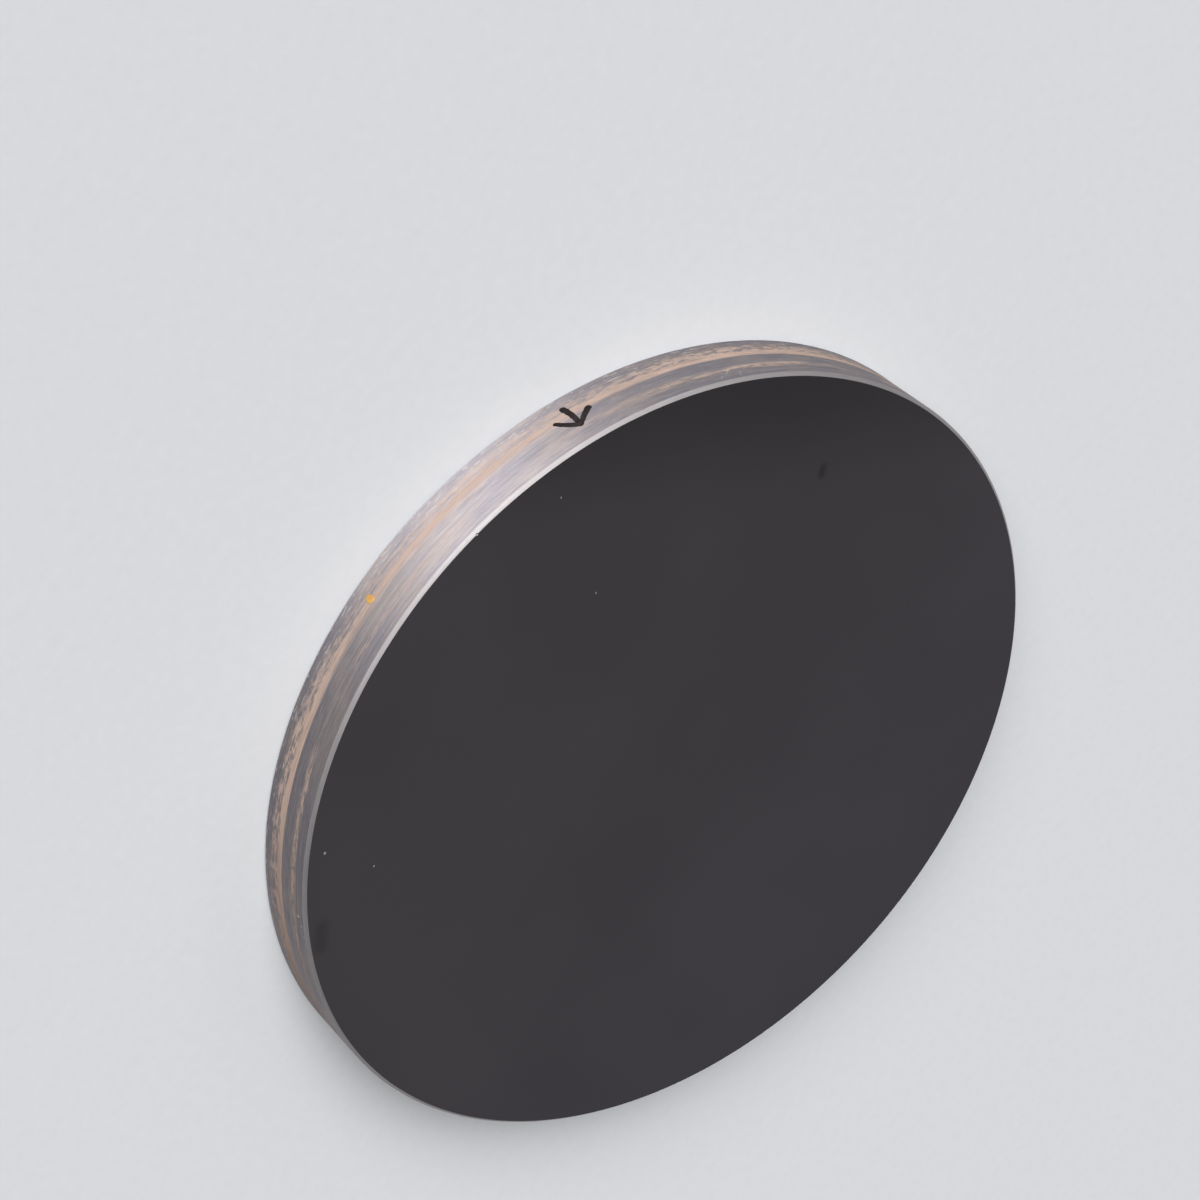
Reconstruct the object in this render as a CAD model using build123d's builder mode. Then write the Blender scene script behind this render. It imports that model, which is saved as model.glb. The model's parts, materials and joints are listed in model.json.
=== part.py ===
from build123d import *
import os

# A round optical window: a thick, flat disc of opaque infrared crystal.
#
# The blank is one piece. Its two faces are polished flat and parallel, its edge is ground to a
# true cylinder, and a narrow 45 degree bevel breaks the corner at each face, so that the corner
# doesn't flake when the window is set down in its cell.
#
# Frame: the origin is the centre of the back face, on which the window lies at rest. +Z runs
# along the optical axis and out of the front face. Millimetres.

# Driving dimensions
DIAMETER = 100.0
THICKNESS = 9.0
FRONT_BEVEL = 0.4
BACK_BEVEL = 0.4

BACK_FACE_PLANE = Plane.XY


def write(part):
    """Writes one finished piece to its own STEP file, named after its label."""
    os.makedirs("parts", exist_ok=True)
    export_step(part, f"parts/{part.label}.step")


with BuildPart() as window_disc:
    # The ground cylinder, from the back face up
    with BuildSketch(BACK_FACE_PLANE):
        Circle(DIAMETER / 2)
    extrude(amount=THICKNESS)

    # The bevels that break the two sharp corners
    corners = window_disc.edges().filter_by(GeomType.CIRCLE).sort_by(Axis.Z)
    back_corner = corners[0]
    front_corner = corners[-1]
    chamfer(front_corner, FRONT_BEVEL)
    chamfer(back_corner, BACK_BEVEL)
window_disc.part.label = "window_disc"

write(window_disc.part)
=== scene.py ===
import json
import math

import bmesh
import bpy
from bpy.props import FloatProperty, FloatVectorProperty, IntProperty, PointerProperty
from mathutils import Matrix, Vector, noise


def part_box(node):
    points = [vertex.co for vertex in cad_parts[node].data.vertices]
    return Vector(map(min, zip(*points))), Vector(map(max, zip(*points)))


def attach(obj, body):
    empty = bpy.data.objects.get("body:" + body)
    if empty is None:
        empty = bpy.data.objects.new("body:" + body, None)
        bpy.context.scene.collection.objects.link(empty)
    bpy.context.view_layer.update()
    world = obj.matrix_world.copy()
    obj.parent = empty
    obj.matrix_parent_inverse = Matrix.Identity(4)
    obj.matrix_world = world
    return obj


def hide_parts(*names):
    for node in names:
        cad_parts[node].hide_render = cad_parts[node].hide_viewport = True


# The fixed frame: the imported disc, lying on its back face with +Z out of its front face
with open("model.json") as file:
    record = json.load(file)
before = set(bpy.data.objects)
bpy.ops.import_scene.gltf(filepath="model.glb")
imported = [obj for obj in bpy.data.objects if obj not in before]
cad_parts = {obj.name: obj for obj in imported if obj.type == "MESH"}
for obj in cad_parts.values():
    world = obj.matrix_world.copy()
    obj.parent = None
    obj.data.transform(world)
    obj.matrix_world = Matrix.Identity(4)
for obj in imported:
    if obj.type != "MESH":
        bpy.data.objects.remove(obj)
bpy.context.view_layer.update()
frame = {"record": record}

bl_info = {
    "name": "Optical Window",
    "version": (1, 0, 0),
    "blender": (4, 5, 0),
    "location": "3D View > Sidebar > Optical Window",
    "description": "Finishes a round infrared window: polished faces, ground edge and workshop marks",
    "category": "Object",
}

# Sizes that come from the frame, in metres
DISC_LOW, DISC_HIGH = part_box("window_disc")
RADIUS = (DISC_HIGH.x - DISC_LOW.x) / 2
THICKNESS = DISC_HIGH.z - DISC_LOW.z
RIM_MOUNT = next(mount for mount in frame["record"]["mounts"] if mount["name"] == "rim")
BEVEL = (THICKNESS - RIM_MOUNT["dims"]["length_mm"] / 1000) / 2

MM = 0.001

# Heights on the ground edge, measured up from the back face
RESIDUE_TOP = 4.0 * MM
RESIDUE_CORE = 2.9 * MM
RESIDUE_BOTTOM = 1.7 * MM
SECOND_STREAK = 6.5 * MM

# Chips in the crystal: azimuth in degrees, radius and height of the scoop's centre, scoop radius
CORNER_CHIP = (-94.5, RADIUS - BEVEL + 0.06 * MM, THICKNESS + 0.16 * MM, 0.25 * MM)
EDGE_CHIPS = (
    (-36.9, RADIUS + 0.16 * MM, 7.55 * MM, 0.30 * MM),
    (-35.6, RADIUS + 0.14 * MM, 8.05 * MM, 0.22 * MM),
    (-33.9, RADIUS + 0.10 * MM, 8.30 * MM, 0.18 * MM),
)

# Handling scratches on the edge: azimuth in degrees, lowest height, drift in degrees and rise
SCRATCHES = (
    (-135.2, 6.6 * MM, 1.1, 0.9 * MM),
    (-133.4, 7.7 * MM, 0.5, 0.35 * MM),
    (-136.4, 7.3 * MM, 0.5, 0.8 * MM),
)

# Width of a pen stroke where it starts and where it ends, as shares of the nib's width
PRESSED = 1.12
LIFTED = 0.82

# Distances from the faces' corners at which the mesh has closer rings, so that a chip stays small
CLOSE_RINGS = (3.0 * MM, 1.4 * MM, 0.7 * MM, 0.3 * MM)

# Marks on the front face in millimetres: both ends of a smudge and of a smear, place and size of specks
FINGER_SMUDGE = ((-35.6, -15.9), (-34.9, -15.3))
WIPED_SMEAR = ((39.2, -27.6), (41.2, -25.6))
FACE_SPECKS = (
    (32.5, -34.9, 0.16),
    (30.5, -27.8, 0.11),
    (-12.8, -43.8, 0.08),
    (-7.9, -30.1, 0.08),
)

# Painted shade on the polished faces, drawn darker towards one side: which side, from where to where, what
# is left
PAINTED_SHADE_SIDE = (-0.77, -0.64, 0.0)
PAINTED_SHADE_FROM = 33 * MM
PAINTED_SHADE_TO = 51 * MM
PAINTED_SHADE_SHARE = 0.66

# Fades of the sector where the residue is thinner, as cosines of the angle from an azimuth
LONG_FADE = (0.0, 0.80)
SHORT_FADE = (-0.06, 0.34)

# Small stains and marks, as the colours of their nodes
GREASE_COLOUR = (0.02, 0.018, 0.018, 1.0)
DUST_COLOUR = (0.42, 0.40, 0.40, 1.0)
FLECK_COLOUR = (0.70, 0.66, 0.64, 1.0)
SCRATCH_COLOUR = (0.8, 0.74, 0.72, 1.0)

# Lamps: azimuth, elevation and spread in degrees
KEY_LAMP = (-104, 38, 50)
FILL_LAMP = (-172, 34, 40)

# Where on the front face the camera aims, in radii from the centre
CAMERA_AIM = (-0.1518, -0.5772)

# Points closer than this are one place, and rings closer than this are one ring
SAME_PLACE = 0.001 * MM
SAME_RING = 0.0001 * MM

# A face whose normal rises more than the first is polished, less than the second is ground edge
FACE_RISE = 0.93
EDGE_RISE = 0.35

# Material indices on the window body
FACE_SLOT, BEVEL_SLOT, EDGE_SLOT, CHIP_SLOT = range(4)


# ---------------------------------------------------------------- shared geometry

def around_axis(azimuth, radius, height):
    """The point at that azimuth (radians), distance from the optical axis and height."""
    return Vector((radius * math.cos(azimuth), radius * math.sin(azimuth), height))


def on_front_face(x, y):
    """The point on the front face at those millimetres from its centre."""
    return (x * MM, y * MM, THICKNESS)


def new_object(name, mesh):
    """Links a finished mesh to the scene, at the origin, smooth shaded."""
    made = bpy.data.objects.new(name, mesh)
    bpy.context.scene.collection.objects.link(made)
    mesh.shade_smooth()
    return made


def wrap_on_edge(mesh, azimuth, height):
    """Bends a flat mesh round the ground edge. Its x runs along the edge, y up it and z out of it."""
    for vertex in mesh.vertices:
        along, up, out = vertex.co
        vertex.co = around_axis(azimuth + along / RADIUS, RADIUS + out, height + up)


# ---------------------------------------------------------------- shared shader nodes

def add_node(tree, kind, **settings):
    """Adds a shader node and sets its properties."""
    node = tree.nodes.new(kind)
    for name, value in settings.items():
        setattr(node, name, value)
    return node


def math_node(tree, operation, first, second=None, third=None, clamp=False):
    """A Math node whose inputs are numbers or sockets. Returns its output."""
    node = add_node(tree, "ShaderNodeMath", operation=operation, use_clamp=clamp)
    for socket, value in zip(node.inputs, (first, second, third)):
        if value is not None:
            plug(tree, value, socket)
    return node.outputs[0]


def vector_math(tree, operation, first, second=None, output="Vector"):
    """A Vector Math node whose inputs are vectors or sockets. Returns one of its outputs."""
    node = add_node(tree, "ShaderNodeVectorMath", operation=operation)
    plug(tree, first, node.inputs[0])
    if second is not None:
        plug(tree, second, node.inputs[1])
    return node.outputs[output]


def plug(tree, value, socket):
    """Links a socket into another, or sets a plain value on it."""
    if isinstance(value, bpy.types.NodeSocket):
        tree.links.new(value, socket)
    else:
        socket.default_value = value


def remap(tree, value, low, high, to_low=0.0, to_high=1.0, smooth=True):
    """Maps low..high to to_low..to_high, held at the ends."""
    kind = "SMOOTHSTEP" if smooth else "LINEAR"
    node = add_node(tree, "ShaderNodeMapRange", interpolation_type=kind)
    plug(tree, value, node.inputs["Value"])
    plug(tree, low, node.inputs["From Min"])
    plug(tree, high, node.inputs["From Max"])
    plug(tree, to_low, node.inputs["To Min"])
    plug(tree, to_high, node.inputs["To Max"])
    return node.outputs["Result"]


def scale_by(tree, vector, factor):
    """Multiplies a colour or a vector by one number. Each is a value or a socket."""
    node = add_node(tree, "ShaderNodeVectorMath", operation="SCALE")
    plug(tree, vector, node.inputs[0])
    plug(tree, factor, node.inputs["Scale"])
    return node.outputs[0]


def mix_colour(tree, share, first, second):
    """Mixes two colours, each a socket or a colour, by a share from 0 to 1."""
    node = add_node(tree, "ShaderNodeMix", data_type="RGBA")
    plug(tree, share, node.inputs[0])
    plug(tree, first, node.inputs[6])
    plug(tree, second, node.inputs[7])
    return node.outputs[2]


def noise_value(tree, vector, scale, detail=3.0, roughness=0.55, distortion=0.0):
    """A 3D noise value between 0 and 1."""
    node = add_node(tree, "ShaderNodeTexNoise")
    plug(tree, vector, node.inputs["Vector"])
    plug(tree, scale, node.inputs["Scale"])
    node.inputs["Detail"].default_value = detail
    node.inputs["Roughness"].default_value = roughness
    node.inputs["Distortion"].default_value = distortion
    return node.outputs["Fac"]


def new_group(name, inputs, outputs):
    """Starts a shader node group with named sockets. Returns its tree, input sockets and output node."""
    group = bpy.data.node_groups.new(name, "ShaderNodeTree")
    for label, kind, value in inputs:
        socket = group.interface.new_socket(label, in_out="INPUT", socket_type=kind)
        if value is not None:
            socket.default_value = value
    for label, kind in outputs:
        group.interface.new_socket(label, in_out="OUTPUT", socket_type=kind)
    entry = add_node(group, "NodeGroupInput")
    leave = add_node(group, "NodeGroupOutput")
    return group, entry.outputs, leave.inputs


def use_group(tree, group, **values):
    """Places a node group and sets its inputs, whose names are written with _ for spaces."""
    node = add_node(tree, "ShaderNodeGroup", node_tree=group)
    for name, value in values.items():
        plug(tree, value, node.inputs[name.replace("_", " ")])
    return node.outputs


def grinding_streaks_group():
    """Fine lines left by a wheel, running round the optical axis. Sizes are features per metre."""
    found = bpy.data.node_groups.get("grinding_streaks")
    if found:
        return found
    inputs = (
        ("Position", "NodeSocketVector", None),
        ("Around", "NodeSocketFloat", 90.0),
        ("Across", "NodeSocketFloat", 3000.0),
        ("Break Up", "NodeSocketFloat", 0.5),
    )
    outputs = (("Streak", "NodeSocketFloat"), ("Fleck", "NodeSocketFloat"))
    group, given, result = new_group("grinding_streaks", inputs, outputs)
    stretch = add_node(group, "ShaderNodeCombineXYZ")
    group.links.new(given["Around"], stretch.inputs[0])
    group.links.new(given["Around"], stretch.inputs[1])
    group.links.new(given["Across"], stretch.inputs[2])
    stretched = vector_math(group, "MULTIPLY", given["Position"], stretch.outputs[0])
    long_lines = noise_value(group, stretched, 1.0, detail=5.0, roughness=0.62)
    short = vector_math(group, "MULTIPLY", stretched, (5.0, 5.0, 1.6))
    short_lines = noise_value(group, short, 1.0, detail=3.0, roughness=0.6)
    mixed = add_node(group, "ShaderNodeMix", data_type="FLOAT")
    plug(group, given["Break Up"], mixed.inputs[0])
    plug(group, long_lines, mixed.inputs[2])
    plug(group, short_lines, mixed.inputs[3])
    plug(group, mixed.outputs[0], result["Streak"])
    plug(group, remap(group, short_lines, 0.60, 0.74), result["Fleck"])
    return group


def short_mark_group():
    """A soft-edged line between two points: a scratch, or a speck or smudge when they are close."""
    found = bpy.data.node_groups.get("short_mark")
    if found:
        return found
    inputs = (
        ("Position", "NodeSocketVector", None),
        ("Start", "NodeSocketVector", None),
        ("End", "NodeSocketVector", None),
        ("Half Width", "NodeSocketFloat", 0.0001),
        ("Softness", "NodeSocketFloat", 0.0001),
        ("Ragged", "NodeSocketFloat", 0.0),
    )
    group, given, result = new_group("short_mark", inputs, (("Mask", "NodeSocketFloat"),))
    line = vector_math(group, "SUBTRACT", given["End"], given["Start"])
    offset = vector_math(group, "SUBTRACT", given["Position"], given["Start"])
    reach = vector_math(group, "DOT_PRODUCT", offset, line, "Value")
    length = vector_math(group, "DOT_PRODUCT", line, line, "Value")
    share = math_node(group, "DIVIDE", reach, length, clamp=True)
    nearest = scale_by(group, line, share)
    distance = vector_math(group, "DISTANCE", offset, nearest, "Value")
    wobble = noise_value(group, given["Position"], 2600.0, detail=3.0)
    wobble = math_node(group, "SUBTRACT", wobble, 0.5)
    wobble = math_node(group, "MULTIPLY", wobble, given["Ragged"])
    distance = math_node(group, "ADD", distance, wobble)
    outer = math_node(group, "ADD", given["Half Width"], given["Softness"])
    mask = remap(group, distance, given["Half Width"], outer, 1.0, 0.0)
    plug(group, mask, result["Mask"])
    return group


def dust_group():
    """Sparse specks of dust. Spacing is cells per metre, Size the speck's share of a cell."""
    found = bpy.data.node_groups.get("dust")
    if found:
        return found
    inputs = (
        ("Position", "NodeSocketVector", None),
        ("Spacing", "NodeSocketFloat", 400.0),
        ("Size", "NodeSocketFloat", 0.03),
        ("Share", "NodeSocketFloat", 0.3),
    )
    group, given, result = new_group("dust", inputs, (("Mask", "NodeSocketFloat"),))
    cells = add_node(group, "ShaderNodeTexVoronoi", feature="F1", voronoi_dimensions="3D")
    plug(group, given["Position"], cells.inputs["Vector"])
    plug(group, given["Spacing"], cells.inputs["Scale"])
    speck = remap(group, cells.outputs["Distance"], 0.0, given["Size"], 1.0, 0.0)
    pick = add_node(group, "ShaderNodeSeparateColor")
    plug(group, cells.outputs["Color"], pick.inputs[0])
    kept = math_node(group, "LESS_THAN", pick.outputs[0], given["Share"])
    plug(group, math_node(group, "MULTIPLY", speck, kept), result["Mask"])
    return group


def new_material(name):
    """A node material. Returns it, its tree, its Principled BSDF and the object position in metres."""
    material = bpy.data.materials.new(name)
    material.use_nodes = True
    tree = material.node_tree
    shader = tree.nodes["Principled BSDF"]
    place = add_node(tree, "ShaderNodeTexCoord")
    return material, tree, shader, place.outputs["Object"]


def bump(tree, shader, height, distance, strength=1.0):
    """Feeds a height into the shader's normal."""
    node = add_node(tree, "ShaderNodeBump")
    node.inputs["Strength"].default_value = strength
    node.inputs["Distance"].default_value = distance
    plug(tree, height, node.inputs["Height"])
    plug(tree, node.outputs["Normal"], shader.inputs["Normal"])


def opaque(colour):
    """A colour property as the four numbers that a colour socket takes."""
    return (colour[0], colour[1], colour[2], 1.0)


# ---------------------------------------------------------------- window body

def body_profile(settings):
    """Half of the disc's section in the XZ plane, from the back face's centre to the front's."""
    corner = RADIUS - BEVEL
    wide = corner - 2 * CLOSE_RINGS[0]
    radii = [ring / settings.face_rings * wide for ring in range(settings.face_rings + 1)]
    radii += [corner - inset for inset in CLOSE_RINGS]
    radii.append(corner)
    points = [(radius, 0.0) for radius in radii]
    for ring in range(settings.edge_rings + 1):
        height = BEVEL + ring / settings.edge_rings * (THICKNESS - 2 * BEVEL)
        points.append((RADIUS, height))
    points += [(radius, THICKNESS) for radius in reversed(radii)]
    return [Vector((radius, 0.0, height)) for radius, height in points]


def spin_body(bm, settings):
    """Turns the profile once round the optical axis into a closed disc."""
    verts = [bm.verts.new(point) for point in body_profile(settings)]
    edges = [bm.edges.new(pair) for pair in zip(verts, verts[1:])]
    bmesh.ops.spin(
        bm, geom=verts + edges, cent=(0, 0, 0), axis=(0, 0, 1), angle=2 * math.pi,
        steps=settings.turn_steps, use_merge=True, use_duplicate=False,
    )
    bmesh.ops.remove_doubles(bm, verts=bm.verts, dist=SAME_PLACE)
    for vert in bm.verts:
        # The turn ends a hair off: bring the outermost ring back to the frame's radius
        radius = math.hypot(vert.co.x, vert.co.y)
        if abs(radius - RADIUS) < SAME_PLACE:
            vert.co.x *= RADIUS / radius
            vert.co.y *= RADIUS / radius
    bmesh.ops.recalc_face_normals(bm, faces=bm.faces)


def is_corner(edge):
    """True for a ring edge on one of the four corners between the faces, the bevels and the edge."""
    radii = [math.hypot(vert.co.x, vert.co.y) for vert in edge.verts]
    heights = [vert.co.z for vert in edge.verts]
    if abs(heights[0] - heights[1]) > SAME_RING or abs(radii[0] - radii[1]) > SAME_RING:
        return False
    on_face = abs(radii[0] - (RADIUS - BEVEL)) < SAME_PLACE
    on_edge = abs(radii[0] - RADIUS) < SAME_PLACE
    at_bevel = min(abs(heights[0] - BEVEL), abs(heights[0] - THICKNESS + BEVEL)) < SAME_PLACE
    return on_face or (on_edge and at_bevel)


def soften_corners(bm, settings):
    """Rounds the four corners by a hair, as lapping leaves them."""
    bmesh.ops.bevel(
        bm, geom=[edge for edge in bm.edges if is_corner(edge)], offset=settings.corner_round,
        offset_type="OFFSET", affect="EDGES", segments=2, profile=0.5, material=-1,
    )


def grind_edge(bm, settings):
    """Presses wheel marks into the ground edge: a shoulder above the residue, and uneven grooves."""
    shoulder = settings.shoulder_depth
    for vert in bm.verts:
        radius = math.hypot(vert.co.x, vert.co.y)
        height = vert.co.z
        if radius < RADIUS - 0.01 * MM or not BEVEL < height < THICKNESS - BEVEL:
            continue
        # Fade the relief out at the two bevels
        inset = min(height - BEVEL, THICKNESS - BEVEL - height) / MM
        fade = min(1.0, inset / 0.4)
        sample = Vector((vert.co.x * 80, vert.co.y * 80, height * 2600))
        groove = 0.5 + 0.5 * noise.fractal(sample, 0.6, 2.0, 3)
        depth = settings.groove_depth * max(0.0, groove)
        if height < RESIDUE_TOP:
            depth += shoulder
        factor = 1.0 - fade * depth / radius
        vert.co.x *= factor
        vert.co.y *= factor


def scoop_chip(bm, chip):
    """Breaks a shell-shaped chip out of the crystal: vertices inside a ball move out to its skin."""
    azimuth, radius, height, scoop = chip
    centre = around_axis(math.radians(azimuth), radius, height)
    for cuts in (3, 2):
        near = [face for face in bm.faces if (face.calc_center_median() - centre).length < 2.2 * scoop]
        edges = {edge for face in near for edge in face.edges}
        bmesh.ops.subdivide_edges(bm, edges=list(edges), cuts=cuts, use_grid_fill=True)
    hit = {vert for vert in bm.verts if (vert.co - centre).length < scoop}
    for vert in hit:
        away = (vert.co - centre).normalized()
        rough = 1.0 + 0.06 * noise.noise(vert.co * 9000)
        broken = centre + away * scoop * rough
        reach = math.hypot(broken.x, broken.y)
        inside = min(1.0, RADIUS / reach)
        vert.co = (broken.x * inside, broken.y * inside, min(broken.z, THICKNESS))
    touched = {face for vert in hit for face in vert.link_faces}
    return {face for face in touched if hit.issuperset(face.verts)}


def name_zones(bm, chipped):
    """Gives each face the material of its zone."""
    for face in bm.faces:
        if face in chipped:
            face.material_index = CHIP_SLOT
        elif abs(face.normal.z) > FACE_RISE:
            face.material_index = FACE_SLOT
        elif abs(face.normal.z) < EDGE_RISE:
            face.material_index = EDGE_SLOT
        else:
            face.material_index = BEVEL_SLOT


def coated_face_material(settings):
    """The polished and coated crystal: a dark mirror with a few specks and a smudge, and painted shade
    towards one side.
    """
    material, tree, shader, position = new_material("coated_face")
    mark = short_mark_group()
    cloud = noise_value(tree, position, 38.0, detail=2.0)
    tone = remap(tree, cloud, 0.25, 0.75, 0.93, 1.07, smooth=False)

    # Painted shade: the faces are drawn darker towards one side
    side = vector_math(tree, "DOT_PRODUCT", position, PAINTED_SHADE_SIDE, "Value")
    darker = remap(tree, side, PAINTED_SHADE_FROM, PAINTED_SHADE_TO, 1.0, PAINTED_SHADE_SHARE)
    tone = math_node(tree, "MULTIPLY", tone, darker)
    shade = scale_by(tree, tuple(settings.face_colour), tone)

    # A finger smudge, a wiped smear near the edge, and dust
    start, end = (on_front_face(*place) for place in FINGER_SMUDGE)
    smudge = use_group(
        tree, mark, Position=position, Start=start, End=end,
        Half_Width=0.0, Softness=0.9 * MM, Ragged=0.3 * MM,
    )["Mask"]
    start, end = (on_front_face(*place) for place in WIPED_SMEAR)
    smear = use_group(
        tree, mark, Position=position, Start=start, End=end,
        Half_Width=0.0, Softness=1.5 * MM, Ragged=0.8 * MM,
    )["Mask"]
    dark = math_node(tree, "MAXIMUM", smudge, math_node(tree, "MULTIPLY", smear, 0.6))
    grease = math_node(tree, "MULTIPLY", dark, 0.4)
    stained = mix_colour(tree, grease, shade, GREASE_COLOUR)

    dust = dust_group()
    fine = use_group(tree, dust, Position=position, Spacing=150.0, Size=0.022, Share=0.35)["Mask"]
    specks = fine
    for x, y, size in FACE_SPECKS:
        start = on_front_face(x, y)
        end = on_front_face(x + 0.08, y + 0.05)
        spot = use_group(
            tree, mark, Position=position, Start=start, End=end,
            Half_Width=0.3 * size * MM, Softness=size * MM, Ragged=0.05 * MM,
        )["Mask"]
        specks = math_node(tree, "MAXIMUM", specks, spot)
    lint = math_node(tree, "MULTIPLY", specks, 0.8)
    coloured = mix_colour(tree, lint, stained, DUST_COLOUR)
    plug(tree, coloured, shader.inputs["Base Color"])
    plug(tree, remap(tree, specks, 0.0, 1.0, 1.0, 0.2), shader.inputs["Metallic"])

    # Polish with a breath of haze, in arcs from wiping
    wiped = vector_math(tree, "MULTIPLY", position, (26.0, 140.0, 1.0))
    haze = noise_value(tree, wiped, 1.0, detail=4.0, distortion=0.6)
    sheen = remap(tree, haze, 0.35, 0.75, 0.045, 0.085)
    sheen = math_node(tree, "ADD", sheen, math_node(tree, "MULTIPLY", dark, 0.2))
    sheen = math_node(tree, "ADD", sheen, math_node(tree, "MULTIPLY", specks, 0.5))
    plug(tree, sheen, shader.inputs["Roughness"])
    shader.inputs["Specular Tint"].default_value = (0.72, 0.80, 1.0, 1.0)
    return material


def fade_round_axis(tree, position, azimuth, low, high):
    """Fades from 0 to 1 as a point turns towards that azimuth; low and high are cosines of the angle."""
    towards = around_axis(azimuth, 1 / RADIUS, 0.0)
    facing = vector_math(tree, "DOT_PRODUCT", position, towards, "Value")
    return remap(tree, facing, low, high)


def ground_bevel_material(settings):
    """The narrow bevels: bright, finely ground crystal."""
    material, tree, shader, position = new_material("ground_bevel")
    streaks = use_group(tree, grinding_streaks_group(), Position=position, Around=120.0, Across=6000.0)
    tone = remap(tree, streaks["Streak"], 0.3, 0.7, 0.84, 1.1, smooth=False)
    shade = scale_by(tree, tuple(settings.bevel_colour), tone)
    plug(tree, shade, shader.inputs["Base Color"])
    shader.inputs["Metallic"].default_value = 0.95
    plug(tree, remap(tree, streaks["Fleck"], 0.0, 1.0, 0.6, 0.7), shader.inputs["Roughness"])
    bump(tree, shader, streaks["Streak"], 0.01 * MM)
    return material


def ground_edge_material(settings):
    """The ground edge: streaky grey crystal under a tan band of dried polishing residue."""
    material, tree, shader, position = new_material("ground_edge")
    wheel = grinding_streaks_group()
    streaks = use_group(tree, wheel, Position=position, Around=90.0, Across=4200.0)
    hair = use_group(tree, wheel, Position=position, Around=48.0, Across=8500.0, Break_Up=0.3)
    broad = use_group(tree, wheel, Position=position, Around=38.0, Across=900.0, Break_Up=0.25)
    split = add_node(tree, "ShaderNodeSeparateXYZ")
    plug(tree, position, split.inputs[0])
    height = split.outputs["Z"]

    # The residue is thinner, with a softer border, in one sector round the edge. The crystal under it is
    # the same all round
    thinned = math_node(
        tree, "MULTIPLY",
        fade_round_axis(tree, position, settings.thinned_from, *LONG_FADE),
        fade_round_axis(tree, position, settings.thinned_to, *SHORT_FADE),
    )

    # Bare ground crystal, mottled between a cool and a warm grey and scored all along
    patch = noise_value(tree, vector_math(tree, "MULTIPLY", position, (1.0, 1.0, 3.0)), 150.0, detail=5.0)
    cool = opaque(settings.ground_cool)
    warm = opaque(settings.ground_warm)
    ground = mix_colour(tree, remap(tree, patch, 0.35, 0.65), cool, warm)
    shade = remap(tree, streaks["Streak"], 0.34, 0.66, 0.80, 1.15, smooth=False)
    score = remap(tree, hair["Streak"], 0.36, 0.64, 0.86, 1.11, smooth=False)
    scored = scale_by(tree, ground, math_node(tree, "MULTIPLY", shade, score))

    # What breaks the residue up: flakes, and the grain of the scoring
    flaky = noise_value(
        tree, vector_math(tree, "MULTIPLY", position, (1.0, 1.0, 2.6)), 900.0, detail=4.0, roughness=0.7,
    )
    grain = math_node(tree, "MULTIPLY", math_node(tree, "ADD", hair["Streak"], streaks["Streak"]), 0.5)
    torn = math_node(tree, "MULTIPLY", math_node(tree, "ADD", flaky, grain), 0.5)

    # The residue's solid upper part: its border is soft in the thinner sector, and crisp elsewhere
    wander = math_node(tree, "SUBTRACT", broad["Streak"], 0.5)
    shifted = math_node(tree, "MULTIPLY_ADD", wander, 0.5 * MM, height)
    blur = remap(tree, thinned, 0.0, 1.0, 0.07 * MM, 0.6 * MM, smooth=False)
    top_from = math_node(tree, "SUBTRACT", RESIDUE_TOP, blur)
    top_to = math_node(tree, "ADD", RESIDUE_TOP, blur)
    below = remap(tree, shifted, top_from, top_to, 1.0, 0.0)
    frayed = math_node(tree, "MULTIPLY_ADD", math_node(tree, "SUBTRACT", torn, 0.5), 3.0 * MM, height)
    solid = remap(tree, frayed, RESIDUE_CORE - 0.3 * MM, RESIDUE_CORE + 0.3 * MM)
    solid = math_node(tree, "MULTIPLY", solid, remap(tree, grain, 0.40, 0.54, 0.55, 1.0))
    solid = math_node(tree, "MULTIPLY", solid, remap(tree, thinned, 0.0, 1.0, 1.0, 0.85, smooth=False))

    # Under it, flakes that get sparser towards the back face
    above = remap(tree, frayed, RESIDUE_BOTTOM - 0.5 * MM, RESIDUE_BOTTOM + 0.6 * MM)
    flakes = remap(tree, torn, 0.465, 0.535, 0.12, 0.9)
    flakes = math_node(tree, "MULTIPLY", flakes, above)
    flakes = math_node(tree, "MULTIPLY", flakes, remap(tree, thinned, 0.0, 1.0, 1.0, 0.55, smooth=False))
    band = math_node(tree, "MULTIPLY", below, math_node(tree, "MAXIMUM", solid, flakes))

    # A second, broken streak further up, fainter in the thinner sector
    climb = math_node(tree, "MULTIPLY_ADD", wander, 1.8 * MM, height)
    low_side = remap(tree, climb, SECOND_STREAK - 0.8 * MM, SECOND_STREAK - 0.1 * MM)
    high_side = remap(tree, climb, SECOND_STREAK + 0.1 * MM, SECOND_STREAK + 0.7 * MM, 1.0, 0.0)
    gaps = noise_value(tree, vector_math(tree, "MULTIPLY", position, (1.0, 1.0, 8.0)), 62.0, detail=4.0)
    gaps = remap(tree, gaps, 0.38, 0.56, 0.0, 0.9)
    gaps = math_node(tree, "MULTIPLY", gaps, remap(tree, torn, 0.44, 0.53, 0.15, 1.0))
    upper = math_node(tree, "MULTIPLY", low_side, high_side)
    upper = math_node(tree, "MULTIPLY", upper, gaps)
    upper = math_node(tree, "MULTIPLY", upper, remap(tree, thinned, 0.3, 0.9, 1.0, 0.45))

    residue = math_node(tree, "MAXIMUM", band, upper)

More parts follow.
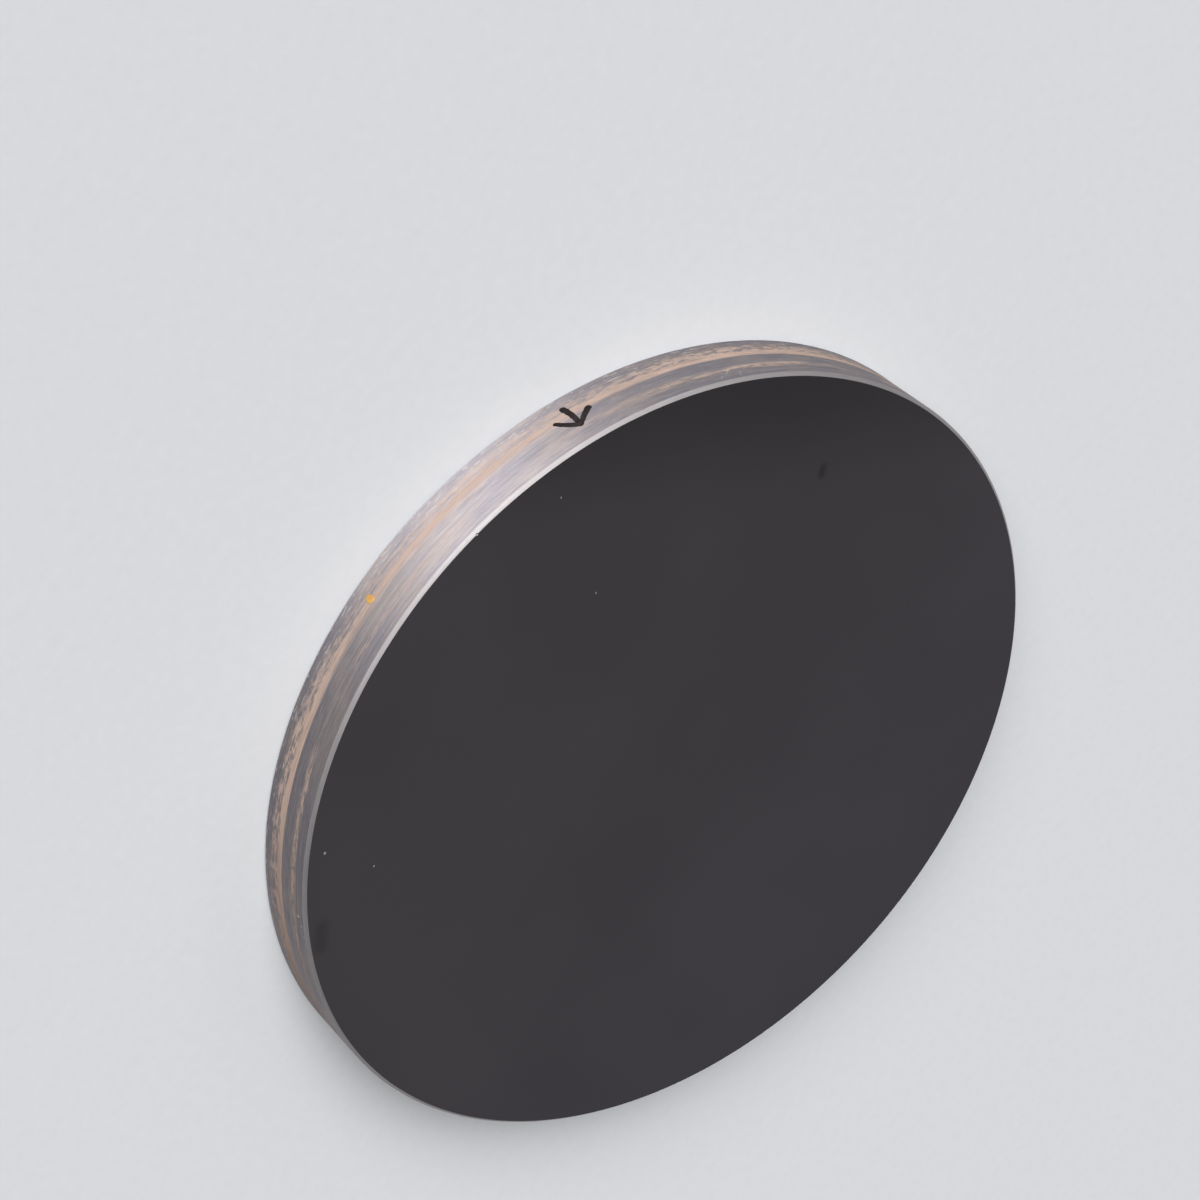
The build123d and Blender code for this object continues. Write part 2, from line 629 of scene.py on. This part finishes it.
    # Silvery flecks of bare crystal, mostly low down
    drawn = vector_math(tree, "MULTIPLY", position, (0.35, 0.35, 1.3))
    sparkle = remap(tree, noise_value(tree, drawn, 2600.0, detail=1.0), 0.58, 0.72)
    sparkle = math_node(tree, "MAXIMUM", sparkle, math_node(tree, "MULTIPLY", streaks["Fleck"], 0.6))
    flecks = math_node(tree, "MULTIPLY", sparkle, remap(tree, height, 1.4 * MM, 3.4 * MM, 1.0, 0.16))

    tan = mix_colour(tree, streaks["Streak"], opaque(settings.residue_dark), opaque(settings.residue_light))
    coloured = mix_colour(tree, residue, scored, tan)
    coloured = mix_colour(tree, math_node(tree, "MULTIPLY", flecks, 0.4), coloured, FLECK_COLOUR)

    # A few short handling scratches
    mark = short_mark_group()
    scratches = None
    for azimuth, low, drift, rise in SCRATCHES:
        start = around_axis(math.radians(azimuth), RADIUS, low)
        end = around_axis(math.radians(azimuth + drift), RADIUS, low + rise)
        scratch = use_group(
            tree, mark, Position=position, Start=start, End=end,
            Half_Width=0.0, Softness=0.08 * MM, Ragged=0.14 * MM,
        )["Mask"]
        scratches = scratch if scratches is None else math_node(tree, "MAXIMUM", scratches, scratch)
    coloured = mix_colour(tree, math_node(tree, "MULTIPLY", scratches, 0.6), coloured, SCRATCH_COLOUR)
    plug(tree, coloured, shader.inputs["Base Color"])

    matt = math_node(tree, "MAXIMUM", residue, math_node(tree, "MULTIPLY", flecks, 0.6))
    shine = remap(tree, matt, 0.0, 1.0, settings.ground_metallic, 0.0, smooth=False)
    plug(tree, shine, shader.inputs["Metallic"])
    rough = remap(tree, matt, 0.0, 1.0, settings.ground_roughness, 0.7, smooth=False)
    plug(tree, rough, shader.inputs["Roughness"])
    shader.inputs["Specular IOR Level"].default_value = 0.08
    shader.inputs["Anisotropic"].default_value = 0.9
    shader.inputs["Anisotropic Rotation"].default_value = 0.25
    turn = add_node(tree, "ShaderNodeTangent", direction_type="RADIAL", axis="Z")
    plug(tree, turn.outputs[0], shader.inputs["Tangent"])
    relief = math_node(tree, "MULTIPLY_ADD", residue, 0.5, grain)
    bump(tree, shader, relief, 0.02 * MM, 0.7)
    return material


def chip_material(settings):
    """Fresh broken crystal inside the chips."""
    material, tree, shader, position = new_material("broken_crystal")
    grain = noise_value(tree, position, 9000.0, detail=4.0)
    tone = mix_colour(tree, grain, opaque(settings.ground_cool), opaque(settings.bevel_colour))
    plug(tree, tone, shader.inputs["Base Color"])
    shader.inputs["Metallic"].default_value = 0.9
    plug(tree, remap(tree, grain, 0.3, 0.7, 0.34, 0.5), shader.inputs["Roughness"])
    bump(tree, shader, grain, 0.02 * MM)
    return material


def make_window_body(settings):
    """Builds the finished disc that stands for the frame's window_disc."""
    bm = bmesh.new()
    spin_body(bm, settings)
    soften_corners(bm, settings)
    grind_edge(bm, settings)
    chipped = set()
    for chip in (CORNER_CHIP, *EDGE_CHIPS):
        chipped |= scoop_chip(bm, chip)
    bmesh.ops.recalc_face_normals(bm, faces=bm.faces)
    name_zones(bm, {face for face in chipped if face.is_valid})
    mesh = bpy.data.meshes.new("polished_window")
    bm.to_mesh(mesh)
    bm.free()
    body = new_object("polished_window", mesh)
    for make in (coated_face_material, ground_bevel_material, ground_edge_material, chip_material):
        mesh.materials.append(make(settings))
    keep_shading_crisp(mesh)
    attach(body, "root")
    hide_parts("window_disc")
    return body


def keep_shading_crisp(mesh):
    """Flat shading on the polished faces, and a crisp border wherever the surface turns sharply."""
    mesh.set_sharp_from_angle(angle=math.radians(24))
    for polygon in mesh.polygons:
        polygon.use_smooth = abs(polygon.normal.z) < 0.9999


# ---------------------------------------------------------------- felt-pen mark

def pen_strokes():
    """A hand-drawn arrow towards the front face: each stroke's points, along and up, in millimetres."""
    shaft = ((0.16, 0.0), (0.0, 1.2), (0.04, 2.3), (0.2, 3.45))
    left_barb = ((-2.0, 1.75), (-1.3, 2.25), (-0.5, 2.95), (0.16, 3.5))
    right_barb = ((0.2, 3.5), (0.9, 2.9), (1.55, 2.2), (2.1, 1.45))
    return (shaft, left_barb, right_barb)


def draw_stroke(points, width):
    """One stroke of ink as a closed tube, wider where the pen was pressed first. Returns its mesh."""
    curve = bpy.data.curves.new("stroke", "CURVE")
    curve.dimensions = "3D"
    curve.bevel_depth = width / 2
    curve.bevel_resolution = 5
    curve.resolution_u = 14
    curve.use_fill_caps = True
    spline = curve.splines.new("BEZIER")
    spline.bezier_points.add(len(points) - 1)
    for step, (knot, (along, up)) in enumerate(zip(spline.bezier_points, points)):
        knot.co = (along * MM, up * MM, 0.0)
        knot.handle_left_type = knot.handle_right_type = "AUTO"
        knot.radius = PRESSED - step / (len(points) - 1) * (PRESSED - LIFTED)
    holder = bpy.data.objects.new("stroke", curve)
    mesh = bpy.data.meshes.new_from_object(holder)
    bpy.data.objects.remove(holder)
    bpy.data.curves.remove(curve)
    return mesh


def round_ends(bm, points, width):
    """Adds a ball of ink where the pen first touched and where it lifted."""
    for (along, up), pressure in ((points[0], PRESSED), (points[-1], LIFTED)):
        radius = width / 2 * pressure
        made = bmesh.ops.create_uvsphere(bm, u_segments=20, v_segments=12, radius=radius)
        bmesh.ops.translate(bm, verts=made["verts"], vec=(along * MM, up * MM, 0.0))


def felt_ink_material(settings):
    """Dried felt-pen ink: brownish black, darker where it pooled, with the ground edge's grain."""
    material, tree, shader, position = new_material("felt_ink")
    streaks = use_group(tree, grinding_streaks_group(), Position=position, Around=200.0, Across=5200.0)
    pooled = noise_value(tree, position, 1500.0, detail=3.0)
    share = math_node(tree, "MULTIPLY", pooled, streaks["Streak"])
    ink = opaque(settings.ink_colour)
    worn = opaque(settings.worn_colour)
    plug(tree, mix_colour(tree, remap(tree, share, 0.18, 0.42), ink, worn), shader.inputs["Base Color"])
    plug(tree, remap(tree, streaks["Streak"], 0.3, 0.7, 0.42, 0.6), shader.inputs["Roughness"])
    shader.inputs["Specular IOR Level"].default_value = 0.15
    bump(tree, shader, streaks["Streak"], 0.01 * MM, 0.6)
    return material


def make_pen_mark(settings):
    """Draws the arrow in ink on the ground edge."""
    bm = bmesh.new()
    for points in pen_strokes():
        stroke = draw_stroke(points, settings.stroke_width)
        bm.from_mesh(stroke)
        bpy.data.meshes.remove(stroke)
        round_ends(bm, points, settings.stroke_width)
    flatten = settings.film_thickness / settings.stroke_width
    for vert in bm.verts:
        edge = 0.10 * settings.stroke_width * noise.noise(Vector((vert.co.x * 2600, vert.co.y * 2600, 3.0)))
        vert.co.x += edge
        vert.co.z *= flatten
    bmesh.ops.recalc_face_normals(bm, faces=bm.faces)
    mesh = bpy.data.meshes.new("pen_mark")
    bm.to_mesh(mesh)
    bm.free()
    wrap_on_edge(mesh, settings.azimuth, settings.height)
    mark = new_object("pen_mark", mesh)
    mesh.materials.append(felt_ink_material(settings))
    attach(mark, "root")
    return mark


# ---------------------------------------------------------------- paint speck

def yellow_paint_material(settings):
    """A dried drop of yellow paint with a warmer side."""
    material, tree, shader, position = new_material("yellow_paint")
    pigment = noise_value(tree, position, 2200.0, detail=3.0)
    light = opaque(settings.paint_colour)
    deep = opaque(settings.paint_deep)
    plug(tree, mix_colour(tree, remap(tree, pigment, 0.35, 0.65), light, deep), shader.inputs["Base Color"])
    plug(tree, remap(tree, pigment, 0.3, 0.7, 0.3, 0.45), shader.inputs["Roughness"])
    bump(tree, shader, pigment, 0.03 * MM, 0.5)
    return material


def make_paint_speck(settings):
    """Drops the yellow speck on the residue band."""
    bm = bmesh.new()
    bmesh.ops.create_icosphere(bm, subdivisions=5, radius=1.0)
    size = Vector((settings.width / 2, settings.tall / 2, settings.thickness))
    for vert in bm.verts:
        outline = 1.0 + 0.22 * noise.fractal(Vector((vert.co.x * 1.3, vert.co.y * 1.3, 7.0)), 0.7, 2.0, 3)
        vert.co.x *= size.x * outline
        vert.co.y *= size.y * outline
        vert.co.z *= size.z
    mesh = bpy.data.meshes.new("paint_speck")
    bm.to_mesh(mesh)
    bm.free()
    wrap_on_edge(mesh, settings.azimuth, settings.height)
    speck = new_object("paint_speck", mesh)
    mesh.materials.append(yellow_paint_material(settings))
    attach(speck, "root")
    return speck


# ---------------------------------------------------------------- stage

def seen_share(tree):
    """1 where the surface is looked at, straight or in a mirror; 0 where it only throws light."""
    path = add_node(tree, "ShaderNodeLightPath")
    seen = math_node(tree, "MAXIMUM", path.outputs["Is Camera Ray"], path.outputs["Is Glossy Ray"])
    return math_node(tree, "MAXIMUM", seen, path.outputs["Is Transmission Ray"])


def floor_material(settings):
    """Plain pale paper."""
    material, tree, shader, position = new_material("pale_floor")
    fibre = noise_value(tree, position, 700.0, detail=3.0)
    tone = remap(tree, fibre, 0.3, 0.7, 0.985, 1.015, smooth=False)
    shade = scale_by(tree, tuple(settings.floor_colour), tone)
    colour = mix_colour(tree, seen_share(tree), opaque(settings.floor_bounce), shade)
    plug(tree, colour, shader.inputs["Base Color"])
    shader.inputs["Roughness"].default_value = 0.75
    shader.inputs["Specular IOR Level"].default_value = 0.2
    return material


def make_floor(settings):
    """A wide round floor level with the back face."""
    bm = bmesh.new()
    bmesh.ops.create_circle(bm, cap_ends=True, segments=96, radius=settings.floor_radius)
    bmesh.ops.translate(bm, verts=bm.verts, vec=(0, 0, DISC_LOW.z))
    mesh = bpy.data.meshes.new("floor")
    bm.to_mesh(mesh)
    bm.free()
    floor = new_object("floor", mesh)
    mesh.materials.append(floor_material(settings))


def make_world(settings):
    """A dim studio: pale walls up to a little above the horizon, and a pale panel over the far side."""
    world = bpy.data.worlds.new("studio")
    world.use_nodes = True
    tree = world.node_tree
    place = add_node(tree, "ShaderNodeTexCoord")
    split = add_node(tree, "ShaderNodeSeparateXYZ")
    plug(tree, place.outputs["Generated"], split.inputs[0])
    far_side = remap(tree, split.outputs["Y"], 0.2, 0.5)
    above = mix_colour(tree, far_side, opaque(settings.room_colour), opaque(settings.panel_colour))
    rise = remap(tree, split.outputs["Z"], 0.14, 0.3)
    studio = mix_colour(tree, rise, opaque(settings.wall_colour), above)
    colour = mix_colour(tree, seen_share(tree), opaque(settings.room_colour), studio)
    plug(tree, colour, tree.nodes["Background"].inputs["Color"])
    bpy.context.scene.world = world


def add_lamp(name, angles, strength):
    """A big soft lamp far off, so that the light falls evenly on the whole floor."""
    azimuth, elevation, spread = (math.radians(angle) for angle in angles)
    data = bpy.data.lights.new(name, "SUN")
    data.angle = spread
    data.energy = strength
    lamp = bpy.data.objects.new(name, data)
    bpy.context.scene.collection.objects.link(lamp)
    lamp.location = around_axis(azimuth, math.cos(elevation), math.sin(elevation))
    lamp.rotation_euler = lamp.location.to_track_quat("Z", "Y").to_euler()


def make_camera(settings):
    """Looks down on the front face, with the camera rolled as the disc was turned in the hand."""
    data = bpy.data.cameras.new("camera")
    data.lens = settings.lens
    data.sensor_width = 36.0
    data.clip_start = 0.01
    data.clip_end = 20.0
    camera = bpy.data.objects.new("camera", data)
    bpy.context.scene.collection.objects.link(camera)
    camera.location = (0.0, -settings.camera_reach, DISC_HIGH.z + settings.camera_height)
    aim = Vector((CAMERA_AIM[0] * RADIUS, CAMERA_AIM[1] * RADIUS, DISC_HIGH.z))
    level = (aim - camera.location).to_track_quat("-Z", "Y").to_matrix()
    roll = Matrix.Rotation(settings.camera_roll, 3, "Z")
    camera.rotation_euler = (level @ roll).to_euler()
    bpy.context.scene.camera = camera


def make_stage(settings):
    """Floor, walls, lamps and camera."""
    make_floor(settings)
    make_world(settings)
    add_lamp("key", KEY_LAMP, settings.key_strength)
    add_lamp("fill", FILL_LAMP, settings.fill_strength)
    make_camera(settings)
    bpy.context.scene.view_settings.view_transform = "Standard"


# ---------------------------------------------------------------- settings

class WindowBodySettings(bpy.types.PropertyGroup):
    """Sizes and colours of the polished disc."""

    turn_steps: IntProperty(name="Turn steps", description="Facets round the disc", default=960, min=64)
    face_rings: IntProperty(name="Face rings", description="Rings on each polished face", default=8, min=2)
    edge_rings: IntProperty(name="Edge rings", description="Rings up the ground edge", default=41, min=4)
    corner_round: FloatProperty(
        name="Corner round", description="Width of the rounded hair on each corner",
        default=0.03 * MM, unit="LENGTH", precision=6,
    )
    groove_depth: FloatProperty(
        name="Groove depth", description="Deepest wheel mark on the ground edge",
        default=0.010 * MM, unit="LENGTH", precision=6,
    )
    shoulder_depth: FloatProperty(
        name="Shoulder depth", description="Step at the upper border of the residue",
        default=0.012 * MM, unit="LENGTH", precision=6,
    )
    face_colour: FloatVectorProperty(
        name="Face", description="Reflected colour of the coated faces", subtype="COLOR",
        size=3, min=0, max=1, default=(0.125, 0.117, 0.126),
    )
    bevel_colour: FloatVectorProperty(
        name="Bevel", description="Freshly ground crystal", subtype="COLOR",
        size=3, min=0, max=1, default=(0.37, 0.347, 0.352),
    )
    thinned_from: FloatProperty(
        name="Thinned from", description="Azimuth that the long fade of the scrubbed part runs towards",
        default=math.radians(-60), subtype="ANGLE",
    )
    thinned_to: FloatProperty(
        name="Thinned to", description="Azimuth that the short fade of the scrubbed part runs towards",
        default=math.radians(-150), subtype="ANGLE",
    )
    ground_cool: FloatVectorProperty(
        name="Ground, cool", description="Cool patches of the ground edge", subtype="COLOR",
        size=3, min=0, max=1, default=(0.37, 0.343, 0.372),
    )
    ground_warm: FloatVectorProperty(
        name="Ground, warm", description="Warm patches of the ground edge", subtype="COLOR",
        size=3, min=0, max=1, default=(0.44, 0.392, 0.388),
    )
    ground_metallic: FloatProperty(
        name="Ground shine", description="How much the bare ground crystal mirrors",
        default=0.9, min=0, max=1,
    )
    ground_roughness: FloatProperty(
        name="Ground roughness", description="Roughness of the bare ground crystal",
        default=0.7, min=0, max=1,
    )
    residue_light: FloatVectorProperty(
        name="Residue, light", description="Pale side of the dried residue", subtype="COLOR",
        size=3, min=0, max=1, default=(0.74, 0.56, 0.465),
    )
    residue_dark: FloatVectorProperty(
        name="Residue, dark", description="Dark side of the dried residue", subtype="COLOR",
        size=3, min=0, max=1, default=(0.42, 0.28, 0.215),
    )


class PenMarkSettings(bpy.types.PropertyGroup):
    """Place and look of the felt-pen arrow."""

    azimuth: FloatProperty(
        name="Azimuth", description="Where the arrow stands on the edge",
        default=math.radians(-113.8), subtype="ANGLE",
    )
    height: FloatProperty(
        name="Height", description="Foot of the arrow above the back face",
        default=2.4 * MM, unit="LENGTH", precision=5,
    )
    stroke_width: FloatProperty(
        name="Stroke", description="Width of the pen's line", default=0.72 * MM, unit="LENGTH", precision=6,
    )
    film_thickness: FloatProperty(
        name="Film", description="Height of the dried ink", default=0.03 * MM, unit="LENGTH", precision=6,
    )
    ink_colour: FloatVectorProperty(
        name="Ink", description="Pooled ink", subtype="COLOR", size=3, min=0, max=1,
        default=(0.012, 0.008, 0.008),
    )
    worn_colour: FloatVectorProperty(
        name="Thin ink", description="Ink where it is thin", subtype="COLOR", size=3, min=0, max=1,
        default=(0.045, 0.032, 0.030),
    )


class PaintSpeckSettings(bpy.types.PropertyGroup):
    """Place, size and colour of the paint speck."""

    azimuth: FloatProperty(
        name="Azimuth", description="Where the speck sits on the edge",
        default=math.radians(-80.0), subtype="ANGLE",
    )
    height: FloatProperty(
        name="Height", description="Middle of the speck above the back face",
        default=3.1 * MM, unit="LENGTH", precision=5,
    )
    width: FloatProperty(
        name="Width", description="Size along the edge", default=0.9 * MM, unit="LENGTH", precision=5,
    )
    tall: FloatProperty(
        name="Tall", description="Size up the edge", default=1.4 * MM, unit="LENGTH", precision=5,
    )
    thickness: FloatProperty(
        name="Thickness", description="How far the drop stands out", default=0.07 * MM,
        unit="LENGTH", precision=6,
    )
    paint_colour: FloatVectorProperty(
        name="Paint", description="The drop's own colour", subtype="COLOR", size=3, min=0, max=1,
        default=(0.74, 0.44, 0.10),
    )
    paint_deep: FloatVectorProperty(
        name="Deep paint", description="Its warmer side", subtype="COLOR", size=3, min=0, max=1,
        default=(0.66, 0.32, 0.09),
    )


class StageSettings(bpy.types.PropertyGroup):
    """Floor, light and camera."""

    floor_radius: FloatProperty(
        name="Floor", description="Radius of the floor", default=6.0, unit="LENGTH",
    )
    floor_colour: FloatVectorProperty(
        name="Floor colour", description="Plain pale floor", subtype="COLOR", size=3, min=0, max=1,
        default=(0.72, 0.735, 0.755),
    )
    floor_bounce: FloatVectorProperty(
        name="Floor bounce", description="The floor as it lights what stands on it", subtype="COLOR",
        size=3, min=0, max=1, default=(0.12, 0.12, 0.12),
    )
    wall_colour: FloatVectorProperty(
        name="Walls", description="What is seen behind the object from a low view", subtype="COLOR",
        size=3, min=0, max=1, default=(0.66, 0.675, 0.695),
    )
    room_colour: FloatVectorProperty(
        name="Room", description="Soft light from everywhere", subtype="COLOR", size=3, min=0, max=1,
        default=(0.10, 0.10, 0.105),
    )
    panel_colour: FloatVectorProperty(
        name="Panel", description="What the polished face mirrors", subtype="COLOR", size=3, min=0, max=1,
        default=(0.36, 0.355, 0.36),
    )
    key_strength: FloatProperty(
        name="Key", description="Light that the main lamp throws, in watts per square metre", default=4.05,
    )
    fill_strength: FloatProperty(
        name="Fill", description="Light that the side lamp throws, in watts per square metre", default=0.28,
    )
    lens: FloatProperty(name="Lens", description="Focal length in millimetres", default=95.7)
    camera_reach: FloatProperty(
        name="Camera reach", description="How far the camera stands from the optical axis",
        default=0.28165, unit="LENGTH", precision=5,
    )
    camera_height: FloatProperty(
        name="Camera height", description="How far the camera is above the front face",
        default=0.2398, unit="LENGTH", precision=5,
    )
    camera_roll: FloatProperty(
        name="Camera roll", description="Turn of the camera about its view axis",
        default=math.radians(130.28), subtype="ANGLE",
    )


# ---------------------------------------------------------------- operators and panel

class OPTICALWINDOW_OT_make_body(bpy.types.Operator):
    """Build the polished disc with its ground edge"""

    bl_idname = "optical_window.make_body"
    bl_label = "Window Body"

    def execute(self, context):
        make_window_body(context.scene.window_body)
        return {"FINISHED"}


class OPTICALWINDOW_OT_draw_mark(bpy.types.Operator):
    """Draw the felt-pen arrow on the ground edge"""

    bl_idname = "optical_window.draw_mark"
    bl_label = "Pen Mark"

    def execute(self, context):
        make_pen_mark(context.scene.window_pen_mark)
        return {"FINISHED"}


class OPTICALWINDOW_OT_drop_paint(bpy.types.Operator):
    """Put the yellow paint speck on the ground edge"""

    bl_idname = "optical_window.drop_paint"
    bl_label = "Paint Speck"

    def execute(self, context):
        make_paint_speck(context.scene.window_paint_speck)
        return {"FINISHED"}


class OPTICALWINDOW_OT_set_stage(bpy.types.Operator):
    """Set up the floor, the light and the camera"""

    bl_idname = "optical_window.set_stage"
    bl_label = "Stage"

    def execute(self, context):
        make_stage(context.scene.window_stage)
        return {"FINISHED"}


class OPTICALWINDOW_PT_panel(bpy.types.Panel):
    """Lists the window's pieces and their settings"""

    bl_idname = "OPTICALWINDOW_PT_panel"
    bl_label = "Optical Window"
    bl_space_type = "VIEW_3D"
    bl_region_type = "UI"
    bl_category = "Optical Window"

    def draw(self, context):
        layout = self.layout
        scene = context.scene
        for operator, settings in (
            (OPTICALWINDOW_OT_make_body, scene.window_body),
            (OPTICALWINDOW_OT_draw_mark, scene.window_pen_mark),
            (OPTICALWINDOW_OT_drop_paint, scene.window_paint_speck),
            (OPTICALWINDOW_OT_set_stage, scene.window_stage),
        ):
            box = layout.box()
            for name in settings.__annotations__:
                box.prop(settings, name)
            box.operator(operator.bl_idname)


CLASSES = (
    WindowBodySettings,
    PenMarkSettings,
    PaintSpeckSettings,
    StageSettings,
    OPTICALWINDOW_OT_make_body,
    OPTICALWINDOW_OT_draw_mark,
    OPTICALWINDOW_OT_drop_paint,
    OPTICALWINDOW_OT_set_stage,
    OPTICALWINDOW_PT_panel,
)


def register():
    for item in CLASSES:
        bpy.utils.register_class(item)
    bpy.types.Scene.window_body = PointerProperty(type=WindowBodySettings)
    bpy.types.Scene.window_pen_mark = PointerProperty(type=PenMarkSettings)
    bpy.types.Scene.window_paint_speck = PointerProperty(type=PaintSpeckSettings)
    bpy.types.Scene.window_stage = PointerProperty(type=StageSettings)


def unregister():
    del bpy.types.Scene.window_stage
    del bpy.types.Scene.window_paint_speck
    del bpy.types.Scene.window_pen_mark
    del bpy.types.Scene.window_body
    for item in reversed(CLASSES):
        bpy.utils.unregister_class(item)


def main():
    """Makes the whole scene."""
    register()
    bpy.ops.optical_window.make_body()
    bpy.ops.optical_window.draw_mark()
    bpy.ops.optical_window.drop_paint()
    bpy.ops.optical_window.set_stage()


if __name__ == "__main__":
    main()
